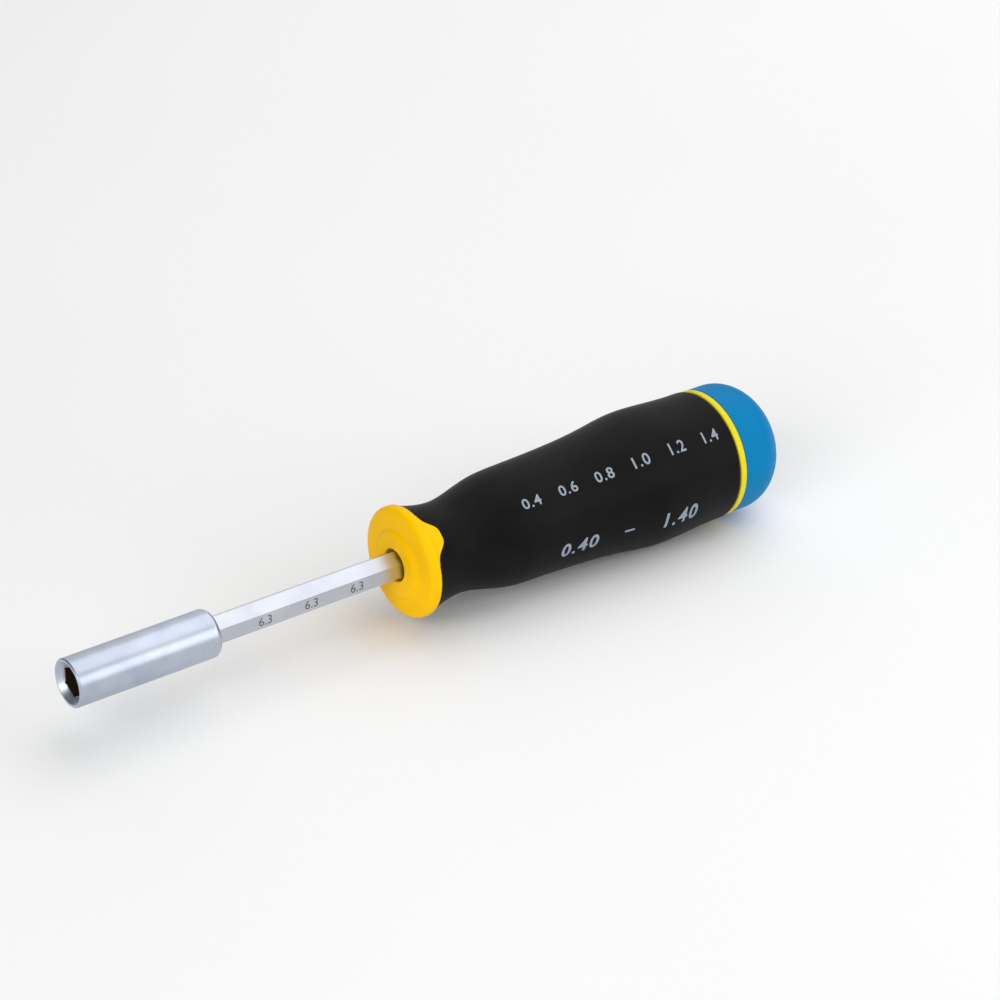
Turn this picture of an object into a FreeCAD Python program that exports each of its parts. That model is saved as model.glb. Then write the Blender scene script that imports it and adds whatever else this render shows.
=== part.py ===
import FreeCAD, Part
import math
import os

# Torque screwdriver with an interchangeable bit-holder blade, in millimetres.
#
# The tool lies along X, its tip at the low end, with Z up. Stations along the tool are worked out as
# distances behind the tip face, and lay_down() then moves every piece into the part's own frame, whose
# origin lies under the middle of the tool on the surface that it rests on.
#
# From the tip: a bit sleeve on a hexagon blade, which plugs into the output spindle. The spindle is held
# against the handle by three balls in a spring-loaded clutch disc. A screw behind the spring sets its
# preload, and with it the torque at which the balls jump to the next pockets.

V = FreeCAD.Vector
AXIS = V(1, 0, 0)

# ---- clearances -----------------------------------------------------------------------------------
press_gap = 0.02        # pieces pressed, glued or moulded together
running_gap = 0.05      # shafts in their bores, faces that turn on each other
sliding_gap = 0.15      # keys in their slots, discs in the tube
bit_play = 0.05         # across the flats of the bit socket
blade_play = 0.04       # across the flats of the blade in the spindle
nose_gap = 0.3          # around the spindle's nose in the core and the tube's lip
spigot_gap = 0.1        # around the nut's spigot inside the spring
edge_round = 0.3        # on the edges of turned pieces

# ---- bit sleeve and blade -------------------------------------------------------------------------
bit_flats = 6.35
sleeve_length = 35.3
sleeve_radius = 5.5
sleeve_front_round = 0.35
sleeve_rear_round = 1.5
mouth_radius = 4.75
mouth_chamfer = 1.3
socket_depth = 13.0
magnet_radius = 2.9
magnet_length = 3.0
blade_flats = 6.0
blade_magnet_gap = 1.3  # between the magnet and the blade pressed in behind it
blade_bare = 47.7
blade_chamfer = 0.4
bit_ring_station = 5.2
bit_ring_wire = 0.35
bit_ring_radius = 3.52
ring_opening = 40.0     # degrees missing from each spring ring

# ---- flange, grip, ring and cap -------------------------------------------------------------------
flange_hole_radius = 3.8
boss_radius = 8.25
boss_height = 0.9
boss_crown_radius = 7.0 # where the boss's face starts to fall away
boss_crown_round = 2.5
flange_radius = 12.95
flange_thickness = 3.1
flange_crown_radius = 10.6
flange_crown_drop = 0.15
flange_crown_round = 6.0
flange_fall = 0.5       # of the face from the boss's foot to the flange's edge
flange_front_round = 1.5
flange_rear_round = 0.5
lobe_count = 3
lobe_azimuth = 42.0     # of the first lobe, in degrees from +Z towards -Y
lobe_radius = 12.5      # from the tool's axis to a lobe's outside
lobe_half_width = 6.2
lobe_reach = 3.1        # how far a lobe runs back over the grip
lobe_tip_round = 0.5
lobe_ramp = 0.7         # how far behind the flange the lobe's slope down from the rim ends
lobe_valley_round = 1.5 # at the foot of that slope
lobe_root = 1.2         # how far a lobe runs forward inside the flange
lobe_depth = 1.5        # of a lobe down into the grip
grip_length = 83.15
grip_neck_radius = 12.6
grip_neck_share = 0.45  # of the way from neck to waist, where the curve is lowest under the straight line
grip_neck_ease = 0.38   # how far the curve runs inside the mean of neck and waist there
grip_waist_radius = 10.74
grip_waist_station = 9.95
grip_rise_ease = 0.13   # the same, halfway up from the waist to the shoulder
grip_shoulder_radius = 13.18
grip_shoulder_station = 22.3
grip_barrel_share = 0.25
grip_barrel_ease = 0.16
grip_barrel_radius = 14.24
grip_barrel_station = 46.0
grip_swell_ease = 0.11
grip_bulge_radius = 16.0
grip_bulge_station = 62.2
grip_tail_ease = 0.02
grip_tail_proud = 0.28  # of the grip's tail outside the cap
grip_tail_round = 1.2
core_neck_radius = 9.2
core_neck_length = 13.7
core_taper = 7.0
core_radius = 12.0
mark_ring_width = 1.65
mark_ring_proud = 0.1   # of the ring outside the cap
mark_ring_round = 0.4
cap_radius = 15.1
cap_skirt = 4.7
cap_dome = 11.0
cap_wall = 2.3
cap_front_round = 0.4
cap_spigot_length = 8.0
cap_spigot_radius = 11.0
cap_spigot_wall = 1.8
cap_hub_wall = 2.1
cap_hub_station = 5.9   # of the hub's front face, behind the cap's front edge

# ---- output spindle and its bearings --------------------------------------------------------------
spindle_recess = 5.9    # from the flange's front face back to the spindle's nose
spindle_radius = 5.0
spindle_collar_radius = 6.8
spindle_collar = 4.9
blade_socket_depth = 12.3
blade_end_gap = 0.3
blade_ring_station = 4.2
blade_ring_wire = 0.35
pilot_radius = 2.5
pilot_length = 8.0
tube_inner_radius = 7.0
tube_wall = 1.0
tube_lip = 1.2
tube_recess = 7.5       # from the flange's front face back to the tube's front end
tube_tail = 1.5         # behind the circlip
bush_length = 6.3
washer_thickness = 1.0

# ---- clutch ---------------------------------------------------------------------------------------
ball_radius = 1.5
ball_count = 3
ball_circle = 4.6
pocket_count = 12
pocket_depth = 0.5
disc_thickness = 3.9
disc_ball_depth = 1.4   # how deep a ball sits in the clutch disc
key_count = 3
key_width = 2.0
key_height = 0.7
key_root_radius = 5.8   # where a key starts inside its disc or nut
slot_travel = 1.5       # free length of the slots at each end of a key

# ---- spring, adjusting screw and rotor ------------------------------------------------------------
spring_length = 30.8
spring_radius = 5.6
spring_wire = 0.9
spring_turns = 7.5
washer_lip = 0.3        # of the spring's washer inside the coils
nut_length = 6.0
nut_spigot_length = 1.5
screw_radius = 4.0
screw_lead = 3.0        # of its two-start thread
setting_turn = 240.0    # degrees from the lowest setting to the highest
screw_front_reach = 13.0
screw_rear_reach = 3.0
screw_collar_radius = 6.0
screw_collar = 2.5
screw_neck_radius = 3.2
screw_neck_taper = 0.8
screw_tail_radius = 2.5
screw_tail = 4.0
plug_length = 6.4
circlip_thickness = 1.0
circlip_groove = 0.6
circlip_width = 1.5
circlip_eye_radius = 1.1
circlip_hole_radius = 0.5
circlip_eye_turn = 5.0  # degrees from the circlip's end to its eye
rotor_radius = 4.9
rotor_rise = 0.3        # of its face above the cap's edge around it
rotor_chamfer = 0.4
rotor_flange_radius = 6.4
rotor_flange = 1.4
key_flats = 5.0
key_play = 0.1
key_depth = 6.0
o_ring_station = 5.0    # of the O-ring's middle, in front of the rotor's face
o_ring_wire = 0.6

# ---- stations along the tool, from the tip face ----------------------------------------------------
blade_front = socket_depth + magnet_length + blade_magnet_gap
flange_front = sleeve_length + blade_bare
flange_rear = flange_front + boss_height + flange_thickness
grip_rear = flange_rear + grip_length
cap_front = grip_rear + mark_ring_width
dome_start = cap_front + cap_skirt
grip_tail_radius = cap_radius + grip_tail_proud
mark_ring_radius = cap_radius + mark_ring_proud

spindle_front = flange_front + spindle_recess
tube_front = flange_front + tube_recess
tube_radius = tube_inner_radius + tube_wall
bush_front = tube_front + tube_lip
bush_rear = bush_front + bush_length
collar_front = bush_rear + washer_thickness + 2 * running_gap
collar_rear = collar_front + spindle_collar
ball_station = collar_rear + ball_radius - pocket_depth
disc_front = ball_station + ball_radius - disc_ball_depth
disc_rear = disc_front + disc_thickness
spring_front = disc_rear + washer_thickness + 2 * running_gap
spring_rear = spring_front + spring_length
nut_front = spring_rear + running_gap
nut_rear = nut_front + nut_length
nut_travel = screw_lead * setting_turn / 360
screw_collar_front = nut_rear + screw_rear_reach
screw_collar_rear = screw_collar_front + screw_collar
plug_front = screw_collar_rear + washer_thickness + 2 * running_gap
plug_rear = plug_front + plug_length
circlip_front = plug_rear + running_gap
circlip_rear = circlip_front + circlip_thickness
tube_rear = circlip_rear + tube_tail
rotor_bore = rotor_radius + running_gap
rotor_rim = dome_start + cap_dome * math.sqrt(1 - (rotor_bore / cap_radius) ** 2)
rotor_face = rotor_rim + rotor_rise
hub_front = cap_front + cap_hub_station
rotor_front = hub_front - running_gap - rotor_flange
o_ring_at = rotor_face - o_ring_station
o_ring_radius = rotor_bore - running_gap / 2 - o_ring_wire


def lay_down(shape):
    """Moves a piece from its station along the tool into the part's own frame."""
    shape.translate(V(-rotor_face / 2, 0, grip_bulge_radius))
    return shape


def save(name, shape):
    """Writes one piece to its own STEP file."""
    lay_down(shape).exportStep(os.path.join("parts", name + ".step"))


def around(shape, degrees):
    """A copy turned about the tool's axis, from +Z towards -Y."""
    turned = shape.copy()
    turned.rotate(V(0, 0, 0), AXIS, degrees)
    return turned


def rounded(corners):
    """A closed wire through (station, radius) corners, in the XZ plane.

    A third number in a corner is the radius of the arc that rounds it.
    """
    edges = []
    cuts = []
    for i, corner in enumerate(corners):
        here = V(corner[0], 0, corner[1])
        if len(corner) < 3:
            cuts.append((here, None, here))
            continue
        before = V(corners[i - 1][0], 0, corners[i - 1][1])
        after = V(corners[(i + 1) % len(corners)][0], 0, corners[(i + 1) % len(corners)][1])
        back = (before - here).normalize()
        ahead = (after - here).normalize()
        half = back.getAngle(ahead) / 2
        reach = corner[2] / math.tan(half)
        middle = (back + ahead).normalize() * (corner[2] / math.sin(half) - corner[2])
        cuts.append((here + back * reach, here + middle, here + ahead * reach))
    for i, (start, top, end) in enumerate(cuts):
        following = cuts[(i + 1) % len(cuts)][0]
        if top is not None:
            edges.append(Part.Arc(start, top, end).toShape())
        if end.distanceToPoint(following) > 1e-6:
            edges.append(Part.LineSegment(end, following).toShape())
    return Part.Wire(edges)


def turned(wire, degrees=360):
    """The solid that a closed outline sweeps about the tool's axis."""
    return Part.Face(wire).revolve(V(0, 0, 0), AXIS, degrees)


def ring(front, rear, inner, outer):
    """A plain tube or washer between two stations."""
    return turned(rounded([(front, inner), (rear, inner), (rear, outer), (front, outer)]))


def rod(front, rear, radius):
    """A plain round bar between two stations."""
    return Part.makeCylinder(radius, rear - front, V(front, 0, 0), AXIS)


def hexagon(front, rear, flats):
    """A hexagon bar between two stations, with a corner at +Z."""
    corner = flats / math.sqrt(3)
    turns = [math.radians(60 * n) for n in range(7)]
    points = [V(front, -corner * math.sin(a), corner * math.cos(a)) for a in turns]
    return Part.Face(Part.makePolygon(points)).extrude(V(rear - front, 0, 0))


def spring_ring(station, radius, wire):
    """A round-wire ring with an opening, about the tool's axis."""
    return Part.makeTorus(radius, wire, V(station, 0, 0), AXIS, 0, 360, 360 - ring_opening)


def groove(station, radius, wire):
    """What a spring ring's groove removes."""
    return rod(station - wire - running_gap, station + wire + running_gap, radius + wire + running_gap)


def keys(front, rear, radius, width):
    """Bars side by side with the tool's axis, reaching out to a radius."""
    bar = Part.makeBox(rear - front, width, radius, V(front, -width / 2, 0))
    bars = [around(bar, 360 / key_count * n) for n in range(key_count)]
    return bars[0].fuse(bars[1:])


# ---- blade and bit sleeve ---------------------------------------------------------------------------


def bit_sleeve():
    """Turned sleeve: hexagon bit socket in front, pocket for the magnet, blade pressed in behind."""
    body = turned(rounded([
        (0, 0),
        (0, sleeve_radius, sleeve_front_round),
        (sleeve_length, sleeve_radius, sleeve_rear_round),
        (sleeve_length, 0),
    ]))
    mouth = Part.makeCone(mouth_radius, mouth_radius - mouth_chamfer, mouth_chamfer, V(0, 0, 0), AXIS)
    socket = hexagon(0, socket_depth, bit_flats + bit_play)
    magnet = rod(socket_depth, socket_depth + magnet_length, magnet_radius + press_gap)
    blade_hole = hexagon(socket_depth + magnet_length, sleeve_length, blade_flats + 2 * press_gap)
    ring_groove = groove(bit_ring_station, bit_ring_radius, bit_ring_wire)
    return body.cut([mouth, socket, ring_groove, magnet, blade_hole])


def bit_magnet():
    """Disc magnet at the bottom of the bit socket."""
    return turned(rounded([
        (socket_depth, 0),
        (socket_depth, magnet_radius, edge_round),
        (socket_depth + magnet_length, magnet_radius),
        (socket_depth + magnet_length, 0),
    ]))


def blade():
    """Hexagon bar with both ends chamfered."""
    rear = spindle_front + blade_socket_depth - blade_end_gap
    corner = blade_flats / math.sqrt(3)
    chamfered = turned(rounded([
        (blade_front, 0),
        (blade_front, corner - blade_chamfer),
        (blade_front + blade_chamfer, corner + press_gap),
        (rear - blade_chamfer, corner + press_gap),
        (rear, corner - blade_chamfer),
        (rear, 0),
    ]))
    return hexagon(blade_front, rear, blade_flats).common(chamfered)


# ---- handle ---------------------------------------------------------------------------------------


def core_corners(grow):
    """The outside of the handle core that the grip is moulded on, grown by a gap."""
    neck_end = flange_rear + core_neck_length
    return [
        (flange_rear, core_neck_radius + grow),
        (neck_end, core_neck_radius + grow),
        (neck_end + core_taper, core_radius + grow),
    ]


def lobe_outlines(grow, outside):
    """Bell-shaped blocks behind the flange, one per lobe, that reach out to a radius."""
    root = flange_rear - lobe_root
    bell = [(0, 1), (0.31, 0.83), (0.56, 0.4), (0.79, 0.09), (1, 0)]
    shares = [(-across, reach) for across, reach in reversed(bell[1:])] + bell
    wide = lobe_half_width + grow
    curve = Part.BSplineCurve()
    curve.interpolate([
        V(flange_rear + grow + lobe_reach * reach, wide * across, 0) for across, reach in shares])
    start, end = curve.StartPoint, curve.EndPoint
    corners = [start, V(root, start.y, 0), V(root, end.y, 0), end]
    straight = [Part.LineSegment(a, b).toShape() for a, b in zip(corners, corners[1:])]
    block = Part.Face(Part.Wire([*straight, curve.toShape()])).extrude(V(0, 0, outside))
    return [around(block, lobe_azimuth + 360 / lobe_count * n) for n in range(lobe_count)]


def lobes():
    """Rounded lobes that run back from the flange's edge over the grip."""
    band = turned(rounded([
        (flange_rear - lobe_root, lobe_radius - lobe_depth),
        (flange_rear + lobe_reach, lobe_radius - lobe_depth),
        (flange_rear + lobe_reach, lobe_radius, lobe_tip_round),
        (flange_rear + lobe_ramp, lobe_radius, lobe_valley_round),
        (flange_rear - flange_rear_round, flange_radius),
        (flange_rear - lobe_root, flange_radius),
    ]))
    return [band.common(block) for block in lobe_outlines(0, flange_radius)]


def lobe_pockets():
    """What the lobes take out of the grip."""
    inside = rod(flange_front, flange_rear + 2 * lobe_reach, lobe_radius - lobe_depth - press_gap)
    return [block.cut(inside) for block in lobe_outlines(press_gap, 2 * flange_radius)]


def handle_core():
    """Hard moulding: flange with its boss and lobes, and the tube that holds the mechanism."""
    boss_foot = flange_front + boss_height
    outside = core_corners(0)
    body = turned(rounded([
        (flange_front, flange_hole_radius, edge_round),
        (spindle_front - running_gap, flange_hole_radius),
        (spindle_front - running_gap, spindle_radius + nose_gap),
        (tube_front, spindle_radius + nose_gap),
        (tube_front, tube_radius + press_gap),
        (cap_front - cap_spigot_length, tube_radius + press_gap),
        (cap_front - cap_spigot_length, cap_spigot_radius + press_gap),
        (cap_front, cap_spigot_radius + press_gap),
        (cap_front, core_radius),
        outside[2],
        outside[1],
        outside[0],
        (flange_rear, flange_radius, flange_rear_round),
        (boss_foot + flange_fall, flange_radius, flange_front_round),
        (boss_foot + flange_crown_drop, flange_crown_radius, flange_crown_round),
        (boss_foot, boss_radius),
        (flange_front, boss_crown_radius, boss_crown_round),
    ]))
    return body.fuse(lobes())


def between(first, second, share, ease):
    """A point part of the way between two (station, radius) points, eased inside their mean radius."""
    return first[0] + (second[0] - first[0]) * share, (first[1] + second[1]) / 2 - ease


def grip_outline():
    """The grip's outside from neck to tail: waist, shoulder, barrel and bulge in one curve."""
    neck = (0, grip_neck_radius)
    waist = (grip_waist_station, grip_waist_radius)
    shoulder = (grip_shoulder_station, grip_shoulder_radius)
    barrel = (grip_barrel_station, grip_barrel_radius)
    bulge = (grip_bulge_station, grip_bulge_radius)
    tail = (grip_length, grip_tail_radius)
    points = [
        neck,
        between(neck, waist, grip_neck_share, grip_neck_ease),
        waist,
        between(waist, shoulder, 0.5, grip_rise_ease),
        shoulder,
        between(shoulder, barrel, grip_barrel_share, grip_barrel_ease),
        barrel,
        between(barrel, bulge, 0.5, grip_swell_ease),
        bulge,
        between(bulge, tail, 0.5, grip_tail_ease),
        tail,
    ]
    curve = Part.BSplineCurve()
    curve.interpolate([V(flange_rear + x, 0, r) for x, r in points])
    return curve


def grip():
    """Soft grip moulded over the core, with pockets that the lobes fill."""
    curve = grip_outline()
    inner = [V(x, 0, r) for x, r in core_corners(press_gap)]
    back = V(grip_rear, 0, core_radius + press_gap)
    corners = [curve.StartPoint, *inner, back, curve.EndPoint]
    straight = [Part.LineSegment(a, b).toShape() for a, b in zip(corners, corners[1:])]
    body = turned(Part.Wire([curve.toShape(), *reversed(straight)]))
    tail = [e for e in body.Edges if e.BoundBox.XMin > grip_rear - 0.01 and e.BoundBox.ZMax > core_radius + 1]
    return body.makeFillet(grip_tail_round, tail).cut(lobe_pockets())


def mark_ring():
    """Coloured ring between grip and cap."""
    return turned(rounded([
        (grip_rear, core_radius + press_gap),
        (cap_front, core_radius + press_gap),
        (cap_front, mark_ring_radius, mark_ring_round),
        (grip_rear, mark_ring_radius, mark_ring_round),
    ]))


def dome_arc(start_radius, end_radius, height, radius):
    """A quarter-ellipse profile between two radii."""
    centre = V(dome_start, 0, 0)
    curve = Part.Ellipse(centre + V(0, 0, radius), centre + V(height, 0, 0), centre)
    first = V(dome_start + height * math.sqrt(1 - (start_radius / radius) ** 2), 0, start_radius)
    last = V(dome_start + height * math.sqrt(1 - (end_radius / radius) ** 2), 0, end_radius)
    span = sorted([curve.parameter(first), curve.parameter(last)])
    return Part.ArcOfEllipse(curve, span[0], span[1]).toShape(), first, last


def end_cap():
    """Domed cap: spigot into the core, scale face around the rotor, and the hub that guides it."""
    inner_radius = cap_radius - cap_wall
    hub_radius = rotor_bore + cap_hub_wall
    spigot_front = cap_front - cap_spigot_length + press_gap
    spigot_inner = cap_spigot_radius - cap_spigot_wall
    outer_arc, top, edge = dome_arc(cap_radius, rotor_bore, cap_dome, cap_radius)
    inner_arc, inner_top, inner_edge = dome_arc(
        inner_radius, hub_radius, cap_dome - cap_wall, inner_radius)
    outside = [top, V(cap_front, 0, cap_radius), V(cap_front, 0, cap_spigot_radius),
               V(spigot_front, 0, cap_spigot_radius), V(spigot_front, 0, spigot_inner),
               V(cap_front + cap_wall, 0, spigot_inner), V(cap_front + cap_wall, 0, inner_radius), inner_top]
    inside = [inner_edge, V(hub_front, 0, hub_radius), V(hub_front, 0, rotor_bore), edge]
    lines = [Part.LineSegment(a, b).toShape() for a, b in zip(outside, outside[1:])]
    hub = [Part.LineSegment(a, b).toShape() for a, b in zip(inside, inside[1:])]
    body = turned(Part.Wire(Part.__sortEdges__([outer_arc, *lines, inner_arc, *hub])))
    trimmed = turned(rounded([
        (spigot_front, 0),
        (spigot_front, cap_spigot_radius),
        (cap_front, cap_spigot_radius),
        (cap_front, cap_radius, cap_front_round),
        (rotor_face, cap_radius),
        (rotor_face, 0),
    ]))
    return body.common(trimmed)


# ---- mechanism ------------------------------------------------------------------------------------


def housing_tube():
    """Steel tube with a front lip, closed slots for the keys, and a groove for the circlip."""
    body = ring(bush_front, tube_rear, tube_inner_radius, tube_radius)
    lip = ring(tube_front, bush_front, spindle_radius + nose_gap, tube_radius)
    disc_slots = keys(
        disc_front - slot_travel, disc_rear + slot_travel, tube_radius + 1, key_width + 2 * sliding_gap)
    nut_slots = keys(
        nut_front - nut_travel - slot_travel, nut_rear + slot_travel, tube_radius + 1,
        key_width + 2 * sliding_gap)
    clip_groove = rod(circlip_front - press_gap, circlip_rear + press_gap, tube_inner_radius + circlip_groove)
    return body.fuse(lip).cut([disc_slots, nut_slots, clip_groove])


def front_bush():
    """Bronze bush that the spindle turns in."""
    return ring(bush_front, bush_rear, spindle_radius + running_gap, tube_inner_radius - press_gap)


def front_thrust_washer():
    """Takes the spring's push on the spindle collar."""
    front = bush_rear + running_gap
    return ring(front, front + washer_thickness, spindle_radius + 2 * running_gap,
                tube_inner_radius - sliding_gap)


def spindle():
    """Output spindle: blade socket in the nose, collar with the clutch pockets, pilot behind."""
    body = turned(rounded([
        (spindle_front, 0),
        (spindle_front, spindle_radius, edge_round),
        (collar_front, spindle_radius),
        (collar_front, spindle_collar_radius, edge_round),
        (collar_rear, spindle_collar_radius),
        (collar_rear, pilot_radius),
        (collar_rear + pilot_length, pilot_radius, edge_round),
        (collar_rear + pilot_length, 0),
    ]))
    socket = hexagon(spindle_front, spindle_front + blade_socket_depth, blade_flats + blade_play)
    pocket = Part.makeSphere(ball_radius + running_gap, V(ball_station, 0, ball_circle))
    pockets = [around(pocket, 360 / pocket_count * n) for n in range(pocket_count)]
    clip = groove(spindle_front + blade_ring_station, blade_ring_radius(), blade_ring_wire)
    return body.cut([socket, clip, *pockets])


def blade_ring_radius():
    """The blade's corners pass just inside the spring ring that holds the blade in."""
    return blade_flats / math.sqrt(3) + blade_ring_wire + running_gap


def clutch_balls():
    """Steel balls between the spindle's pockets and the clutch disc."""
    ball = Part.makeSphere(ball_radius, V(ball_station, 0, ball_circle))
    return Part.makeCompound([around(ball, 360 / ball_count * n) for n in range(ball_count)])


def clutch_disc():
    """Disc that can't turn but can slide back in the tube, and carries the balls."""
    body = ring(disc_front, disc_rear, pilot_radius + running_gap, tube_inner_radius - sliding_gap)
    teeth = keys(disc_front, disc_rear, tube_inner_radius + key_height, key_width)
    bore = rod(disc_front, disc_rear, key_root_radius)
    seat = Part.makeSphere(ball_radius + press_gap, V(ball_station, 0, ball_circle))
    seats = [around(seat, 360 / ball_count * n) for n in range(ball_count)]
    return body.fuse(teeth.cut(bore)).cut(seats)


def spring_washer():
    """Hard washer between the clutch disc and the spring."""
    front = disc_rear + running_gap
    return ring(front, front + washer_thickness, spring_radius - spring_wire - washer_lip,
                tube_inner_radius - sliding_gap)


def torque_spring():
    """Round-wire compression spring with ground ends."""
    run = spring_length + 2 * spring_wire
    helix = Part.makeHelix(run / spring_turns, run, spring_radius)
    helix.rotate(V(0, 0, 0), V(0, 1, 0), 90)
    helix.translate(V(spring_front - spring_wire, 0, 0))
    start = helix.Vertexes[0].Point
    along = helix.Edges[0].tangentAt(helix.Edges[0].FirstParameter)
    wire = Part.Wire(Part.makeCircle(spring_wire, start, along))
    coil = Part.Wire(helix.Edges).makePipeShell([wire], True, True)
    return coil.common(rod(spring_front, spring_rear, spring_radius + 2 * spring_wire))


def spring_seat_nut():
    """Keyed nut that the screw drives along the tube to load the spring."""
    bore = screw_radius + running_gap
    body = ring(nut_front, nut_rear, bore, tube_inner_radius - sliding_gap)
    spigot = ring(nut_front - nut_spigot_length, nut_front, bore, spring_radius - spring_wire - spigot_gap)
    teeth = keys(nut_front, nut_rear, tube_inner_radius + key_height, key_width)
    inside = rod(nut_front, nut_rear, key_root_radius)
    return body.fuse([spigot, teeth.cut(inside)])


def adjusting_screw():
    """Coarse screw with a thrust collar, a journal in the plug and a tail in the rotor."""
    neck_front = plug_rear + 2 * circlip_thickness
    return turned(rounded([
        (nut_front - screw_front_reach, 0),
        (nut_front - screw_front_reach, screw_radius, edge_round),
        (screw_collar_front, screw_radius),
        (screw_collar_front, screw_collar_radius),
        (screw_collar_rear, screw_collar_radius),
        (screw_collar_rear, screw_radius),
        (neck_front, screw_radius, edge_round),
        (neck_front + screw_neck_taper, screw_neck_radius),
        (rotor_front - press_gap, screw_neck_radius),
        (rotor_front - press_gap, screw_tail_radius),
        (rotor_front + screw_tail, screw_tail_radius, edge_round),
        (rotor_front + screw_tail, 0),
    ]))


def rear_thrust_washer():
    """Runs between the screw's collar and the plug."""
    front = screw_collar_rear + running_gap
    return ring(front, front + washer_thickness, screw_radius + 2 * running_gap,
                tube_inner_radius - sliding_gap)


def rear_plug():
    """Plug that closes the tube and takes the spring's push on the screw."""
    return turned(rounded([
        (plug_front, screw_radius + running_gap),
        (plug_rear, screw_radius + running_gap),
        (plug_rear, tube_inner_radius - press_gap),
        (plug_front, tube_inner_radius - press_gap, edge_round),
    ]))


def rear_circlip():
    """Internal circlip behind the plug, with two eyes for the pliers."""
    outer = tube_inner_radius + circlip_groove - press_gap
    inner = outer - circlip_width
    opening = ring_opening / 2
    band = turned(rounded([
        (circlip_front, inner),
        (circlip_rear, inner),
        (circlip_rear, outer),
        (circlip_front, outer),
    ]), 360 - ring_opening)
    band.rotate(V(0, 0, 0), AXIS, opening - 90)
    eyes = []
    for side in (-1, 1):
        middle = V(circlip_front, 0, inner)
        eye = Part.makeCylinder(circlip_eye_radius, circlip_thickness, middle, AXIS)
        hole = Part.makeCylinder(circlip_hole_radius, circlip_thickness, middle, AXIS)
        eyes.append(around(eye.cut(hole), 180 + side * (opening + circlip_eye_turn)))
    limit = rod(circlip_front, circlip_rear, tube_inner_radius - press_gap)
    return band.fuse([eye.common(limit) for eye in eyes])


def setting_rotor():
    """Rotor in the cap: hexagon key socket in its face, flange inside the hub, bore for the screw."""
    groove_radius = o_ring_radius - o_ring_wire - running_gap
    half = o_ring_wire + running_gap
    body = turned(rounded([
        (rotor_front, screw_tail_radius + press_gap),
        (rotor_front + screw_tail + press_gap, screw_tail_radius + press_gap),
        (rotor_front + screw_tail + press_gap, 0),
        (rotor_face, 0),
        (rotor_face, rotor_radius - rotor_chamfer),
        (rotor_face - rotor_chamfer, rotor_radius),
        (o_ring_at + half, rotor_radius),
        (o_ring_at + half, groove_radius),
        (o_ring_at - half, groove_radius),
        (o_ring_at - half, rotor_radius),
        (rotor_front + rotor_flange, rotor_radius),
        (rotor_front + rotor_flange, rotor_flange_radius),
        (rotor_front, rotor_flange_radius),
    ]))
    return body.cut(hexagon(rotor_face - key_depth, rotor_face, key_flats + key_play))


def rotor_o_ring():
    """O-ring that seals the rotor in the hub and holds its setting."""
    return Part.makeTorus(o_ring_radius, o_ring_wire, V(o_ring_at, 0, 0), AXIS)


os.makedirs("parts", exist_ok=True)

save("bit_sleeve", bit_sleeve())
save("bit_magnet", bit_magnet())
save("bit_retaining_ring", spring_ring(bit_ring_station, bit_ring_radius, bit_ring_wire))
save("blade", blade())
save("handle_core", handle_core())
save("grip", grip())
save("mark_ring", mark_ring())
save("end_cap", end_cap())
save("housing_tube", housing_tube())
save("front_bush", front_bush())
save("front_thrust_washer", front_thrust_washer())
save("spindle", spindle())
save("blade_retaining_ring",
     spring_ring(spindle_front + blade_ring_station, blade_ring_radius(), blade_ring_wire))
save("clutch_balls", clutch_balls())
save("clutch_disc", clutch_disc())
save("spring_washer", spring_washer())
save("torque_spring", torque_spring())
save("spring_seat_nut", spring_seat_nut())
save("adjusting_screw", adjusting_screw())
save("rear_thrust_washer", rear_thrust_washer())
save("rear_plug", rear_plug())
save("rear_circlip", rear_circlip())
save("setting_rotor", setting_rotor())
save("rotor_o_ring", rotor_o_ring())
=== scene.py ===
"""Finishes of a torque screwdriver: plated steel, moulded plastic, soft grip and its marks.

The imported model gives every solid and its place. This script gives the solids their materials,
prints the torque range on the grip and the scale on the cap, etches the blade, and sets up a plain
studio around them.
"""

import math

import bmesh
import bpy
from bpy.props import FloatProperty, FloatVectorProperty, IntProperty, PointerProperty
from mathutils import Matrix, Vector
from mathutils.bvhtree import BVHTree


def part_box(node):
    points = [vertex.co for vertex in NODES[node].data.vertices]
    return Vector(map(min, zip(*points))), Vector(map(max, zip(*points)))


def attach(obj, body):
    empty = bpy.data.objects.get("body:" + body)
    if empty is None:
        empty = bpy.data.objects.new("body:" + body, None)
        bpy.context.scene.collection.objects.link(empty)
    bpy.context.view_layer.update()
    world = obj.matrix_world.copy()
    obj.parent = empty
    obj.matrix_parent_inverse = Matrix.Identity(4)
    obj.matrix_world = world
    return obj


bl_info = {
    "name": "Torque Screwdriver Finish",
    "version": (1, 0, 0),
    "blender": (4, 5, 0),
    "location": "View3D > Sidebar > Tool Finish",
    "description": "Dresses a torque screwdriver in its real finishes",
    "category": "Object",
}

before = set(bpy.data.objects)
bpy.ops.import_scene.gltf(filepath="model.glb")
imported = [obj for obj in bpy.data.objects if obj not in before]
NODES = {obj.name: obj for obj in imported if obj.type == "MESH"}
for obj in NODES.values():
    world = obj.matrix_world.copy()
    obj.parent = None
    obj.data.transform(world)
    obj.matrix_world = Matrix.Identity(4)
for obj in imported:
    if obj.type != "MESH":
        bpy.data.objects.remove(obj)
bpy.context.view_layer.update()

MM = 0.001
AXIS_HEIGHT = (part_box("end_cap")[0].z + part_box("end_cap")[1].z) / 2
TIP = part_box("bit_sleeve")[0].x
BLADE_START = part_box("bit_sleeve")[1].x
FLANGE_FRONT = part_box("handle_core")[0].x
GRIP_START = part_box("grip")[0].x
ROTOR_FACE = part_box("setting_rotor")[1].x
CAP_RADIUS = (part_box("end_cap")[1].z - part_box("end_cap")[0].z) / 2

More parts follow.
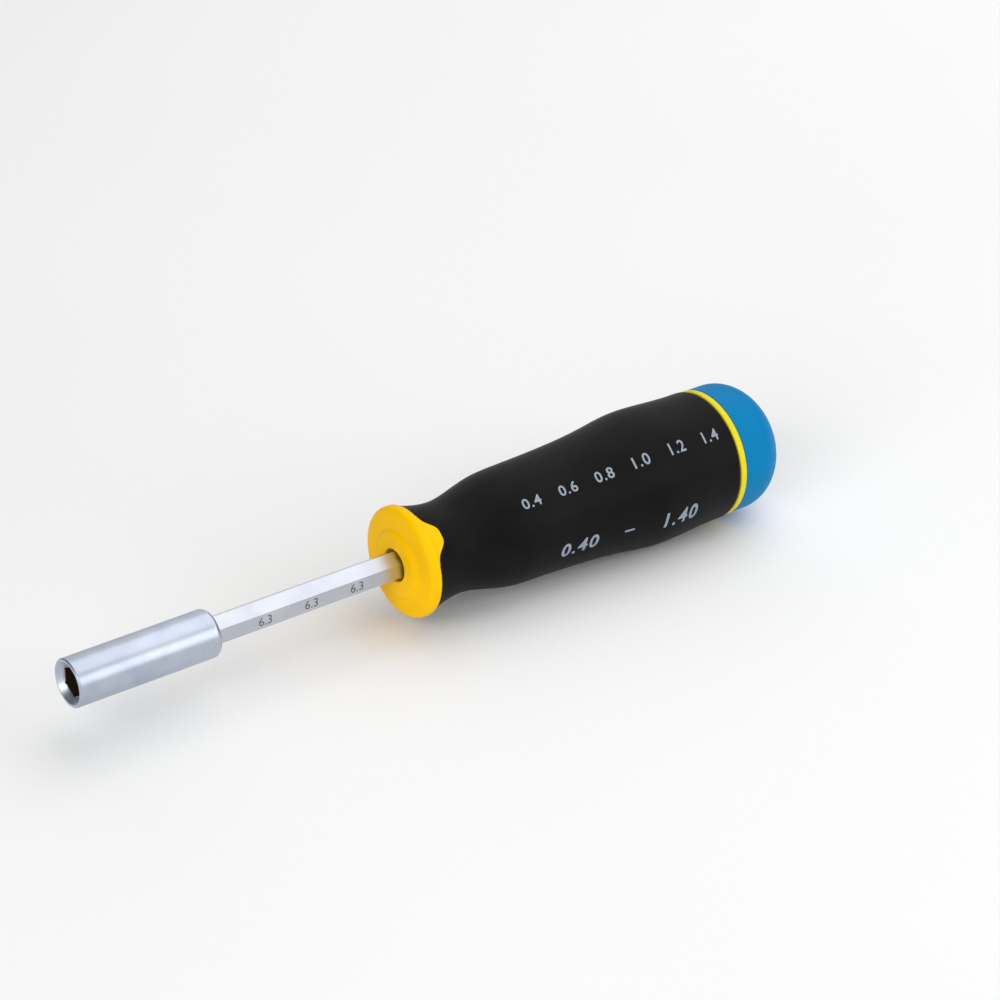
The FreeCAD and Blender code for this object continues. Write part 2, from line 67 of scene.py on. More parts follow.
# Half the thickness of the marks. Real ink is a thinner film and a laser mark has no depth, but
# drawn like this they stand clear of the surface.
INK_HALF_THICKNESS = 0.02 * MM
ETCH_HALF_THICKNESS = 0.01 * MM
CUT_SPACING = 0.5 * MM          # between the cuts that let a flat mark follow a curve
END_CLEARANCE = 10 * MM         # from the rotor's face to where a mark on the end is aimed from

RANGE_SLANT = 0.12              # of the range's figures, as a share of their height
RANGE_BOLD = 0.02               # how far their outline is grown, before they are sized
ROW_BOLD = 0.015
BOLD_SPACING = 8                # extra letter spacing for each unit of growth
DASH_SIZE = (2.6 * MM, 0.5 * MM)
ROW_STEP = 0.2                  # between the figures of the upper row, in N m
FIGURE_EVERY = 4                # divisions of the cap's scale from one figure to the next
POINTER_SIZE = (0.5 * MM, 1.1 * MM)
POINTER_RADIUS = 3.9 * MM
ETCH_TEXT = "6.3"               # nominal size of the bit socket, in millimetres
ETCH_COUNT = 3
ETCH_HEIGHT = 2.1 * MM
ETCH_AZIMUTH = 90.0             # of the flat that is etched, in degrees round from the top

# The bare bore of the sleeve: plating fades out over these radii and depths behind the mouth.
BORE_RADII = (3.7 * MM, 3.8 * MM)
BORE_DEPTHS = (0.9 * MM, 1.5 * MM)

# The sheen of plastics. The usual 0.5 greys the colours under softboxes this wide and near, so it
# is matched far lower.
HARD_SHEEN = 0.06
SOFT_SHEEN = 0.055

# The stage, in metres. Each softbox has its place and its width. Its power is a studio setting.
FLOOR_HALF = 4.0
SOFTBOXES = {
    "overhead": ((0.5, 0.02, 0.9), 1.3),
    "front": ((-0.9, -0.5, 0.5), 0.8),
    "fill": ((0.6, -0.95, 0.49), 0.8),
    "back": ((0.5, 1.0, 0.6), 1.0),
}
ROOM_COLOUR = "#F7F8FA"
SENSOR_WIDTH = 36.0             # of the camera, in millimetres
CLIP = (0.01, 20.0)             # nearest and farthest that it sees

MOTTLE = (0.35, 0.65)           # noise values where the two shades of a colour are reached
WANDER = (0.3, 0.7)             # noise values where the ends of a roughness are reached


# ---- small helpers -------------------------------------------------------------------------------


def linear(code):
    """An sRGB hex colour as linear red, green, blue and alpha."""
    parts = [int(code[i:i + 2], 16) / 255 for i in (1, 3, 5)]
    levels = [c / 12.92 if c <= 0.04045 else ((c + 0.055) / 1.055) ** 2.4 for c in parts]
    return (*levels, 1.0)


def add(tree, kind, inputs=None, **settings):
    """Adds a node, sets its properties, and fills or links its inputs."""
    node = tree.nodes.new(kind)
    for key, value in settings.items():
        setattr(node, key, value)
    for key, value in (inputs or {}).items():
        if isinstance(value, bpy.types.NodeSocket):
            tree.links.new(value, node.inputs[key])
        else:
            node.inputs[key].default_value = value
    return node


def surface(name, **values):
    """A new material with one shader, whose uniform values are set on its own sockets."""
    material = bpy.data.materials.new(name)
    material.use_nodes = True
    shader = material.node_tree.nodes["Principled BSDF"]
    for key, value in values.items():
        shader.inputs[key.replace("_", " ")].default_value = value
    return material, material.node_tree, shader


def place_of(tree, stretch=(1.0, 1.0, 1.0)):
    """The object's own coordinates in metres, stretched along each axis."""
    where = add(tree, "ShaderNodeTexCoord").outputs["Object"]
    return add(tree, "ShaderNodeMapping", {"Vector": where, "Scale": stretch}).outputs["Vector"]


def per_metre(millimetres):
    """A texture scale whose features are about this many millimetres across."""
    return 1 / (millimetres * MM)


def link_colour(tree, shader, vector, scale_mm, first, second):
    """Mottles the base colour between two close shades, over patches of a real size."""
    patches = add(tree, "ShaderNodeTexNoise", {
        "Vector": vector, "Scale": per_metre(scale_mm), "Detail": 2.0})
    ramp = add(tree, "ShaderNodeValToRGB", {"Fac": patches.outputs["Fac"]})
    for element, position, shade in zip(ramp.color_ramp.elements, MOTTLE, (first, second)):
        element.position = position
        element.color = shade
    tree.links.new(ramp.outputs["Color"], shader.inputs["Base Color"])


def link_roughness(tree, shader, factor, low, high):
    """Lets the roughness wander between two values."""
    span = add(tree, "ShaderNodeMapRange", {
        "Value": factor, "From Min": WANDER[0], "From Max": WANDER[1],
        "To Min": low, "To Max": high})
    tree.links.new(span.outputs["Result"], shader.inputs["Roughness"])


def link_relief(tree, shader, height, depth_mm, strength):
    """Raises a height pattern by a real depth."""
    bump = add(tree, "ShaderNodeBump", {
        "Height": height, "Distance": depth_mm * MM, "Strength": strength})
    tree.links.new(bump.outputs["Normal"], shader.inputs["Normal"])


def dress(node_names, material):
    """Gives solids of the model a material."""
    for name in node_names:
        solid = NODES[name]
        solid.data.materials.clear()
        solid.data.materials.append(material)


# ---- materials -----------------------------------------------------------------------------------
#
# Real machining lines and moulded grain are about 0.02 to 0.1 mm apart, too fine to show on the
# stage. They are drawn coarser, at the size that each material gives. The camera of the stage sees
# about 0.2 mm as its smallest detail, so the finest of them only soften a highlight there, and show
# closer up.


def satin_chrome(colour):
    """Turned steel, blasted and chromed: soft wide highlights with a trace of the turning lines.

    Real turning lines are about 0.05 mm apart and blasted grain about as fine. They are drawn at
    0.12 and 0.2 mm.
    """
    material, tree, shader = surface("satin_chrome_turned", Metallic=1.0)
    rings = add(tree, "ShaderNodeTexNoise", {
        "Vector": place_of(tree, (1.0, 0.02, 0.02)), "Scale": per_metre(0.12), "Detail": 3.0})
    grain = add(tree, "ShaderNodeTexNoise", {
        "Vector": place_of(tree), "Scale": per_metre(0.2), "Detail": 3.0})
    link_colour(tree, shader, place_of(tree), 6.0, colour, linear("#B7BECC"))
    link_roughness(tree, shader, grain.outputs["Fac"], 0.31, 0.38)
    link_relief(tree, shader, rings.outputs["Fac"], 0.01, 0.25)
    bare_bore(tree, shader, linear("#8F7F63"))
    return material


def bare_bore(tree, shader, colour):
    """Broached walls that plating hardly reaches: bare steel, brown with oil."""
    plated = shader.inputs["Base Color"].links[0].from_socket
    where = add(tree, "ShaderNodeTexCoord").outputs["Object"]
    from_mouth = add(tree, "ShaderNodeVectorMath", {
        0: where, 1: (TIP, 0, AXIS_HEIGHT)}, operation="SUBTRACT")
    across = add(tree, "ShaderNodeVectorMath", {
        0: from_mouth.outputs["Vector"], 1: (0, 1, 1)}, operation="MULTIPLY")
    radius = add(tree, "ShaderNodeVectorMath", {0: across.outputs["Vector"]}, operation="LENGTH")
    depth = add(tree, "ShaderNodeSeparateXYZ", {0: from_mouth.outputs["Vector"]})
    inside = add(tree, "ShaderNodeMapRange", {
        "Value": radius.outputs["Value"], "From Min": BORE_RADII[1], "From Max": BORE_RADII[0]})
    below = add(tree, "ShaderNodeMapRange", {
        "Value": depth.outputs["X"], "From Min": BORE_DEPTHS[0], "From Max": BORE_DEPTHS[1]})
    share = add(tree, "ShaderNodeMath", {
        0: inside.outputs["Result"], 1: below.outputs["Result"]}, operation="MULTIPLY")
    mix = add(tree, "ShaderNodeMix", {"Factor": share.outputs["Value"]}, data_type="RGBA")
    tree.links.new(plated, mix.inputs["A"])
    tree.links.new(mix.outputs["Result"], shader.inputs["Base Color"])
    mix.inputs["B"].default_value = colour


def bright_chrome(colour):
    """Drawn hexagon steel, polished and chromed: clear reflections broken by lengthwise draw lines.

    Real draw lines are about 0.05 mm apart and are drawn at 0.15 mm.
    """
    material, tree, shader = surface("bright_chrome_drawn", Metallic=1.0)
    lines = add(tree, "ShaderNodeTexNoise", {
        "Vector": place_of(tree, (0.01, 1.0, 1.0)), "Scale": per_metre(0.15), "Detail": 3.0})
    link_colour(tree, shader, place_of(tree), 9.0, colour, linear("#B9BCC6"))
    link_roughness(tree, shader, lines.outputs["Fac"], 0.26, 0.34)
    link_relief(tree, shader, lines.outputs["Fac"], 0.006, 0.2)
    return material


def moulded_plastic(name, colour, shade, roughness):
    """Injection-moulded ABS from an eroded mould: even colour, fine grain, softened highlight.

    The real grain is about 0.1 mm across and is drawn at 0.25 mm.
    """
    material, tree, shader = surface(name, Metallic=0.0, IOR=1.54, Specular_IOR_Level=HARD_SHEEN)
    grain = add(tree, "ShaderNodeTexNoise", {
        "Vector": place_of(tree), "Scale": per_metre(0.25), "Detail": 4.0})
    link_colour(tree, shader, place_of(tree), 12.0, colour, linear(shade))
    link_roughness(tree, shader, grain.outputs["Fac"], roughness - 0.04, roughness + 0.04)
    link_relief(tree, shader, grain.outputs["Fac"], 0.012, 0.35)
    return material


def soft_grip(colour):
    """Soft thermoplastic moulded over the core: deep black, dull silk sheen, grain you can feel.

    The real grain is about 0.1 mm across and is drawn at 0.3 mm.
    """
    material, tree, shader = surface(
        "tpe_grip_moulded", Metallic=0.0, IOR=1.5, Specular_IOR_Level=SOFT_SHEEN)
    grain = add(tree, "ShaderNodeTexNoise", {
        "Vector": place_of(tree), "Scale": per_metre(0.3), "Detail": 5.0})
    link_colour(tree, shader, place_of(tree), 15.0, colour, linear("#161617"))
    link_roughness(tree, shader, grain.outputs["Fac"], 0.38, 0.48)
    link_relief(tree, shader, grain.outputs["Fac"], 0.02, 0.4)
    return material


def turned_steel():
    """Turned and oiled steel: grey, with ring-shaped tool marks drawn at about twice their size."""
    material, tree, shader = surface("steel_turned", Metallic=1.0)
    rings = add(tree, "ShaderNodeTexNoise", {
        "Vector": place_of(tree, (1.0, 0.02, 0.02)), "Scale": per_metre(0.2), "Detail": 3.0})
    link_colour(tree, shader, place_of(tree), 4.0, linear("#A9A9AC"), linear("#B6B6B8"))
    link_roughness(tree, shader, rings.outputs["Fac"], 0.28, 0.38)
    link_relief(tree, shader, rings.outputs["Fac"], 0.01, 0.3)
    return material


def spring_steel():
    """Drawn and oil-tempered spring wire: dark grey-brown with a dull shine."""
    material, tree, shader = surface("spring_wire_drawn", Metallic=1.0)
    scale = add(tree, "ShaderNodeTexNoise", {
        "Vector": place_of(tree), "Scale": per_metre(0.5), "Detail": 4.0})
    link_colour(tree, shader, place_of(tree), 2.0, linear("#67625D"), linear("#7A7671"))
    link_roughness(tree, shader, scale.outputs["Fac"], 0.34, 0.46)
    return material


def polished_nickel():
    """Nickel plate and ground steel balls: bright and slightly warm."""
    material, tree, shader = surface("nickel_polished", Metallic=1.0)
    haze = add(tree, "ShaderNodeTexNoise", {
        "Vector": place_of(tree), "Scale": per_metre(0.4), "Detail": 3.0})
    link_colour(tree, shader, place_of(tree), 3.0, linear("#C9C4B8"), linear("#D3CEC4"))
    link_roughness(tree, shader, haze.outputs["Fac"], 0.14, 0.22)
    return material


def sintered_bronze():
    """Sintered bronze: brown-gold, matt, with pores drawn several times their real size."""
    material, tree, shader = surface("bronze_sintered", Metallic=1.0)
    pores = add(tree, "ShaderNodeTexVoronoi", {"Vector": place_of(tree), "Scale": per_metre(0.3)})
    link_colour(tree, shader, place_of(tree), 1.5, linear("#B08A55"), linear("#9C7745"))
    link_roughness(tree, shader, pores.outputs["Distance"], 0.4, 0.5)
    link_relief(tree, shader, pores.outputs["Distance"], 0.02, 0.4)
    return material


def black_oxide():
    """Blackened steel: near black, with an oily satin shine and lighter worn grain.

    The real grain is about 0.05 mm across and is drawn at 0.3 mm.
    """
    material, tree, shader = surface("steel_black_oxide", Metallic=0.6)
    grain = add(tree, "ShaderNodeTexNoise", {
        "Vector": place_of(tree), "Scale": per_metre(0.3), "Detail": 4.0})
    link_colour(tree, shader, place_of(tree), 1.2, linear("#131314"), linear("#1F1F21"))
    link_roughness(tree, shader, grain.outputs["Fac"], 0.34, 0.46)
    link_relief(tree, shader, grain.outputs["Fac"], 0.008, 0.3)
    return material


def seal_rubber():
    """Moulded nitrile rubber: black and matt, with fine grain drawn at 0.2 mm to show."""
    material, tree, shader = surface("nitrile_moulded", Metallic=0.0, IOR=1.5)
    grain = add(tree, "ShaderNodeTexNoise", {
        "Vector": place_of(tree), "Scale": per_metre(0.2), "Detail": 3.0})
    link_colour(tree, shader, place_of(tree), 1.0, linear("#141414"), linear("#1B1B1B"))
    link_roughness(tree, shader, grain.outputs["Fac"], 0.6, 0.7)
    return material


def printed_ink(name, colour, shade):
    """Pad-printed ink: matt, and so thin that white turns blue-grey over black.

    The real grain of the print is about 0.1 mm across and is drawn at 0.25 mm.
    """
    material, tree, shader = surface(name, Metallic=0.0, IOR=1.5)
    grain = add(tree, "ShaderNodeTexNoise", {
        "Vector": place_of(tree), "Scale": per_metre(0.25), "Detail": 4.0})
    link_colour(tree, shader, place_of(tree), 0.5, colour, linear(shade))
    link_roughness(tree, shader, grain.outputs["Fac"], 0.5, 0.6)
    return material


def laser_etch():
    """Laser-annealed steel: a dark grey oxide mark, duller than the plate around it.

    The real laser lines are about 0.05 mm apart. They show as spots drawn at 0.15 mm.
    """
    material, tree, shader = surface("laser_etch", Metallic=0.7)
    spots = add(tree, "ShaderNodeTexNoise", {
        "Vector": place_of(tree), "Scale": per_metre(0.15), "Detail": 4.0})
    link_colour(tree, shader, place_of(tree), 0.3, linear("#5A5C63"), linear("#6B6D75"))
    link_roughness(tree, shader, spots.outputs["Fac"], 0.5, 0.62)
    return material


def studio_paper(colour):
    """Matt background paper: pale and even, its faint fibre drawn much coarser, at 1 mm."""
    material, tree, shader = surface("background_paper", Metallic=0.0)
    fibre = add(tree, "ShaderNodeTexNoise", {
        "Vector": place_of(tree), "Scale": per_metre(1.0), "Detail": 4.0})
    link_colour(tree, shader, place_of(tree), 300.0, colour, linear("#F6F6F6"))
    link_roughness(tree, shader, fibre.outputs["Fac"], 0.85, 0.95)
    return material


# ---- marks laid on curved surfaces ---------------------------------------------------------------


def flat_text(text, height, slant=0.0, bold=0.0):
    """Points and triangles of a line of text, centred, with figures of the given height."""
    curve = bpy.data.curves.new("lettering", "FONT")
    curve.body = text
    curve.shear = slant
    curve.offset = bold
    curve.space_character = 1 + BOLD_SPACING * bold
    curve.resolution_u = 3
    curve.fill_mode = "FRONT"
    writer = bpy.data.objects.new("lettering", curve)
    bpy.context.scene.collection.objects.link(writer)
    seen = writer.evaluated_get(bpy.context.evaluated_depsgraph_get())
    mesh = bpy.data.meshes.new_from_object(seen)
    bpy.data.objects.remove(writer)
    bpy.data.curves.remove(curve)
    sheet = bmesh.new()
    sheet.from_mesh(mesh)
    bpy.data.meshes.remove(mesh)
    xs = [v.co.x for v in sheet.verts]
    ys = [v.co.y for v in sheet.verts]
    size = height / (max(ys) - min(ys))
    middle = Vector(((min(xs) + max(xs)) / 2, (min(ys) + max(ys)) / 2, 0))
    for v in sheet.verts:
        v.co = (v.co - middle) * size
    return sheet


def flat_bar(width, height):
    """A plain bar, centred."""
    sheet = bmesh.new()
    corners = [(-1, -1), (1, -1), (1, 1), (-1, 1)]
    sheet.faces.new([sheet.verts.new((x * width / 2, y * height / 2, 0)) for x, y in corners])
    return sheet


def refine(sheet, spacing):
    """Cuts a flat sheet along a square grid, so that it can follow a curve."""
    for axis in (0, 1):
        across = Vector((1 - axis, axis, 0))
        values = [v.co[axis] for v in sheet.verts]
        first, last = math.floor(min(values) / spacing) + 1, math.ceil(max(values) / spacing)
        for n in range(first, last):
            geometry = sheet.verts[:] + sheet.edges[:] + sheet.faces[:]
            bmesh.ops.bisect_plane(
                sheet, geom=geometry, plane_co=across * n * spacing, plane_no=across)


def print_on(name, sheets, target, body, material, half_thickness):
    """Lays flat sheets on a solid and makes one thin printed piece of them.

    Each sheet comes with a function that turns a flat point into the start and direction of a line
    that meets the solid where the point belongs.
    """
    tree = BVHTree.FromObject(target, bpy.context.evaluated_depsgraph_get())
    whole = bmesh.new()
    for sheet, aim in sheets:
        refine(sheet, CUT_SPACING)
        placed = {}
        for v in sheet.verts:
            start, direction = aim(v.co.x, v.co.y)
            hit, normal, _, _ = tree.ray_cast(start, direction)
            if hit is None:
                raise RuntimeError(f"{name} reaches past the solid that it is printed on")
            placed[v] = whole.verts.new(hit + normal * half_thickness)
        for face in sheet.faces:
            whole.faces.new([placed[v] for v in face.verts])
        sheet.free()
    bmesh.ops.recalc_face_normals(whole, faces=whole.faces)
    mesh = bpy.data.meshes.new(name)
    whole.to_mesh(mesh)
    whole.free()
    mesh.materials.append(material)
    piece = bpy.data.objects.new(name, mesh)
    bpy.context.scene.collection.objects.link(piece)
    skin = piece.modifiers.new("thickness", "SOLIDIFY")
    skin.thickness = 2 * half_thickness
    skin.offset = 0
    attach(piece, body)
    return piece


def in_degrees(angle):
    """A stored angle as the figure that was set, free of the rounding that storing it brings."""
    return round(math.degrees(angle), 4)


def around_axis(station, azimuth_deg):
    """Aims at the tool's side: flat x runs to the cap, and flat y runs round towards the top."""
    reach = 2 * CAP_RADIUS

    def aim(x, y):
        turn = math.radians(azimuth_deg) - y / CAP_RADIUS
        outward = Vector((0, -math.sin(turn), math.cos(turn)))
        return Vector((station + x, 0, AXIS_HEIGHT)) + outward * reach, -outward

    return aim


def around_flat(station, azimuth_deg):
    """Aims squarely at one flat of the blade: flat x runs to the cap, flat y towards the top."""
    turn = math.radians(azimuth_deg)
    outward = Vector((0, -math.sin(turn), math.cos(turn)))
    up = Vector((0, math.cos(turn), math.sin(turn)))

    def aim(x, y):
        return Vector((station + x, 0, AXIS_HEIGHT)) + up * y + outward * CAP_RADIUS, -outward

    return aim


def on_end(clock_deg, radius):
    """Aims at the cap's end from behind: flat y runs outwards, angles clockwise from the top."""
    turn = math.radians(clock_deg)
    outward = Vector((0, math.sin(turn), math.cos(turn)))
    clockwise = Vector((0, math.cos(turn), -math.sin(turn)))

    def aim(x, y):
        spot = outward * (radius + y) + clockwise * x
        return Vector((ROTOR_FACE + END_CLEARANCE, 0, AXIS_HEIGHT)) + spot, Vector((-1, 0, 0))

    return aim


# ---- settings ------------------------------------------------------------------------------------


def colour_property(name, description, code):
    """A colour whose default is an sRGB hex value."""
    return FloatVectorProperty(
        name=name, description=description, subtype="COLOR", size=4, min=0, max=1,
        default=linear(code))


class FinishColours(bpy.types.PropertyGroup):
    sleeve: colour_property("Sleeve", "Satin chrome of the bit sleeve", "#ADB5C4")
    blade: colour_property("Blade", "Bright chrome of the hexagon blade", "#C3C6CF")
    flange: colour_property("Flange", "Yellow of the flange and its lobes", "#FDC400")
    grip: colour_property("Grip", "Black of the soft grip", "#111112")
    ring: colour_property("Ring", "Lemon of the ring in front of the cap", "#EAD92C")
    cap: colour_property("Cap", "Blue of the domed cap", "#007DB6")
    ink: colour_property("Ink", "Thin white ink of the printed numbers", "#929DAA")
    scale_ink: colour_property("Scale ink", "Pale ink of the scale on the cap", "#C9E9F6")
    paper: colour_property("Paper", "Pale floor under the tool", "#F3F3F2")


class RangePrint(bpy.types.PropertyGroup):
    lowest: FloatProperty(
        name="Lowest torque", description="First number of the range, in N m", default=0.4)
    highest: FloatProperty(
        name="Highest torque", description="Last number of the range, in N m", default=1.4)
    figure_height: FloatProperty(
        name="Figure height", description="Height of the printed figures",
        default=3.9 * MM, unit="LENGTH")
    azimuth: FloatProperty(
        name="Azimuth", description="Middle of the range print, round from the top",
        default=math.radians(102.0), subtype="ANGLE")
    first_station: FloatProperty(
        name="First number", description="Middle of the first number, behind the grip's front edge",
        default=37.5 * MM, unit="LENGTH")
    dash_station: FloatProperty(
        name="Dash", description="Middle of the dash, behind the grip's front edge",
        default=51.0 * MM, unit="LENGTH")
    last_station: FloatProperty(
        name="Last number", description="Middle of the last number, behind the grip's front edge",
        default=65.0 * MM, unit="LENGTH")
    row_height: FloatProperty(
        name="Row figure height", description="Height of the figures in the upper row",
        default=2.8 * MM, unit="LENGTH")
    row_azimuth: FloatProperty(
        name="Row azimuth", description="Middle of the upper row, round from the top",
        default=math.radians(43.0), subtype="ANGLE")
    row_start: FloatProperty(
        name="Row start", description="First figure of the upper row, behind the grip's front edge",
        default=27.0 * MM, unit="LENGTH")
    row_end: FloatProperty(
        name="Row end", description="Last figure of the upper row, behind the grip's front edge",
        default=77.0 * MM, unit="LENGTH")


class CapScale(bpy.types.PropertyGroup):
    turn: FloatProperty(
        name="Turn", description="Angle between the ends of the scale",
        default=math.radians(240.0), subtype="ANGLE")
    divisions: IntProperty(
        name="Divisions", description="Spaces between the ticks", default=20, min=1)
    tick_start: FloatProperty(
        name="Tick start", description="Radius where every tick starts",
        default=5.7 * MM, unit="LENGTH")
    short_tick: FloatProperty(
        name="Short tick", description="Length of a plain tick", default=1.1 * MM, unit="LENGTH")
    long_tick: FloatProperty(
        name="Long tick", description="Length of a numbered tick", default=1.8 * MM, unit="LENGTH")
    tick_width: FloatProperty(
        name="Tick width", description="Width of a tick", default=0.28 * MM, unit="LENGTH")
    figure_height: FloatProperty(
        name="Figure height", description="Height of the figures round the scale",
        default=1.7 * MM, unit="LENGTH")
    figure_radius: FloatProperty(
        name="Figure radius", description="Radius of the ring of figures",
        default=9.0 * MM, unit="LENGTH")


class Studio(bpy.types.PropertyGroup):
    azimuth: FloatProperty(
        name="Azimuth", description="Of the camera, round the tool",
        default=math.radians(-36.6), subtype="ANGLE")
    elevation: FloatProperty(
        name="Elevation", description="Of the camera, above the tool",
        default=math.radians(28.8), subtype="ANGLE")
    distance: FloatProperty(
        name="Distance", description="From the camera to where it looks",
        default=0.8047, unit="LENGTH")
    aim_station: FloatProperty(
        name="Aim", description="Where the camera looks, behind the tip",
        default=112.1 * MM, unit="LENGTH")
    aim_rise: FloatProperty(
        name="Aim rise", description="How far above the tool's axis the camera looks",
        default=6.9 * MM, unit="LENGTH")
    lens: FloatProperty(
        name="Lens", description="Focal length in millimetres", default=129.6, unit="CAMERA")
    surround: FloatProperty(
        name="Surround", description="Brightness of the room around", default=0.22, min=0)
    overhead: FloatProperty(
        name="Overhead", description="Power of the large softbox above, in watts", default=8.0,
        unit="POWER")
    front: FloatProperty(
        name="Front", description="Power of the softbox in front of the tip, in watts", default=7.4,
        unit="POWER")
    fill: FloatProperty(
        name="Fill", description="Power of the softbox at the viewer's right, in watts",
        default=4.8, unit="POWER")
    back: FloatProperty(
        name="Back", description="Power of the softbox behind the tool, in watts", default=2.4,
        unit="POWER")


# ---- operators -----------------------------------------------------------------------------------


class FinishSteel(bpy.types.Operator):
    """Finishes the sleeve, the blade and the small steel pieces in front"""

    bl_idname = "torque_tool.finish_steel"
    bl_label = "Finish the steel front"

    def execute(self, context):
        colours = context.scene.finish_colours
        dress(["bit_sleeve"], satin_chrome(colours.sleeve))
        dress(["blade"], bright_chrome(colours.blade))
        dress(["bit_magnet"], polished_nickel())
        dress(["bit_retaining_ring", "blade_retaining_ring"], spring_steel())
        return {"FINISHED"}


class FinishHandle(bpy.types.Operator):
    """Finishes the flange, the grip, the ring and the cap"""

    bl_idname = "torque_tool.finish_handle"
    bl_label = "Finish the handle"

    def execute(self, context):
        colours = context.scene.finish_colours
        yellow = moulded_plastic("abs_yellow_moulded", colours.flange, "#FBC200", 0.42)
        lemon = moulded_plastic("abs_lemon_moulded", colours.ring, "#E4D226", 0.4)
        blue = moulded_plastic("abs_blue_moulded", colours.cap, "#007AB0", 0.46)
        dress(["handle_core"], yellow)
        dress(["grip"], soft_grip(colours.grip))
        dress(["mark_ring"], lemon)
        dress(["end_cap"], blue)
        return {"FINISHED"}


class FinishMechanism(bpy.types.Operator):
    """Finishes the clutch, the spring, the screw and what holds them"""

    bl_idname = "torque_tool.finish_mechanism"
    bl_label = "Finish the mechanism"

    def execute(self, context):
        dress(["housing_tube", "front_thrust_washer", "spindle", "clutch_disc", "spring_washer",
               "adjusting_screw", "rear_thrust_washer", "rear_plug"], turned_steel())
        dress(["torque_spring", "rear_circlip"], spring_steel())
        dress(["clutch_balls"], polished_nickel())
        dress(["front_bush", "spring_seat_nut"], sintered_bronze())
        dress(["setting_rotor"], black_oxide())
        dress(["rotor_o_ring"], seal_rubber())
        return {"FINISHED"}


class PrintRange(bpy.types.Operator):
    """Prints the torque range and a row of its steps on the grip"""

    bl_idname = "torque_tool.print_range"
    bl_label = "Print the range"

    def execute(self, context):
        settings = context.scene.range_print
        ink = printed_ink("pad_print_white", context.scene.finish_colours.ink, "#87929F")
        low, high = settings.lowest, settings.highest
        height = settings.figure_height
        marks = [
            (flat_text(f"{low:.2f}", height, RANGE_SLANT, RANGE_BOLD), settings.first_station),
            (flat_bar(*DASH_SIZE), settings.dash_station),
            (flat_text(f"{high:.2f}", height, RANGE_SLANT, RANGE_BOLD), settings.last_station),
        ]
        azimuth, row_azimuth = in_degrees(settings.azimuth), in_degrees(settings.row_azimuth)
        sheets = [(sheet, around_axis(GRIP_START + at, azimuth)) for sheet, at in marks]
        print_on("range_print", sheets, NODES["grip"], "handle", ink,
                 INK_HALF_THICKNESS)
        steps = round((high - low) / ROW_STEP)
        length = settings.row_end - settings.row_start
        row = []
        for n in range(steps + 1):
            station = GRIP_START + settings.row_start + length * n / steps
            figure = flat_text(f"{low + ROW_STEP * n:.1f}", settings.row_height, bold=ROW_BOLD)
            row.append((figure, around_axis(station, row_azimuth)))
        print_on("step_row_print", row, NODES["grip"], "handle", ink,
                 INK_HALF_THICKNESS)
        return {"FINISHED"}


class PrintScale(bpy.types.Operator):
    """Prints the scale on the cap and the pointer on the rotor"""

    bl_idname = "torque_tool.print_scale"
    bl_label = "Print the scale"

    def execute(self, context):
        scale = context.scene.cap_scale
        limits = context.scene.range_print
        colours = context.scene.finish_colours
        ink = printed_ink("pad_print_pale_blue", colours.scale_ink, "#BFE2F0")
        turn = in_degrees(scale.turn)
        sheets = []
        for n in range(scale.divisions + 1):
            clock = turn * (n / scale.divisions - 0.5)
            numbered = n % FIGURE_EVERY == 0
            length = scale.long_tick if numbered else scale.short_tick
            tick = flat_bar(scale.tick_width, length)
            sheets.append((tick, on_end(clock, scale.tick_start + length / 2)))
            if numbered:
                value = limits.lowest + (limits.highest - limits.lowest) * n / scale.divisions
                figure = flat_text(f"{value:.1f}", scale.figure_height)
                sheets.append((figure, on_end(clock, scale.figure_radius)))
        print_on("cap_scale_print", sheets, NODES["end_cap"], "handle", ink,
                 INK_HALF_THICKNESS)
        white = printed_ink("pointer_paint_white", colours.ink, "#87929F")
        pointer = [(flat_bar(*POINTER_SIZE), on_end(-turn / 2, POINTER_RADIUS))]
        print_on("rotor_pointer", pointer, NODES["setting_rotor"], "rotor", white,
                 INK_HALF_THICKNESS)
        return {"FINISHED"}


class EtchBlade(bpy.types.Operator):
    """Etches plain size numbers on one flat of the blade"""

    bl_idname = "torque_tool.etch_blade"
    bl_label = "Etch the blade"

    def execute(self, context):
        etch = laser_etch()
        sheets = []
        for n in range(ETCH_COUNT):
            station = BLADE_START + (FLANGE_FRONT - BLADE_START) * (n + 1) / (ETCH_COUNT + 1)
            sheets.append((flat_text(ETCH_TEXT, ETCH_HEIGHT), around_flat(station, ETCH_AZIMUTH)))
        print_on("blade_etch", sheets, NODES["blade"], "blade_unit", etch,
                 ETCH_HALF_THICKNESS)
        return {"FINISHED"}


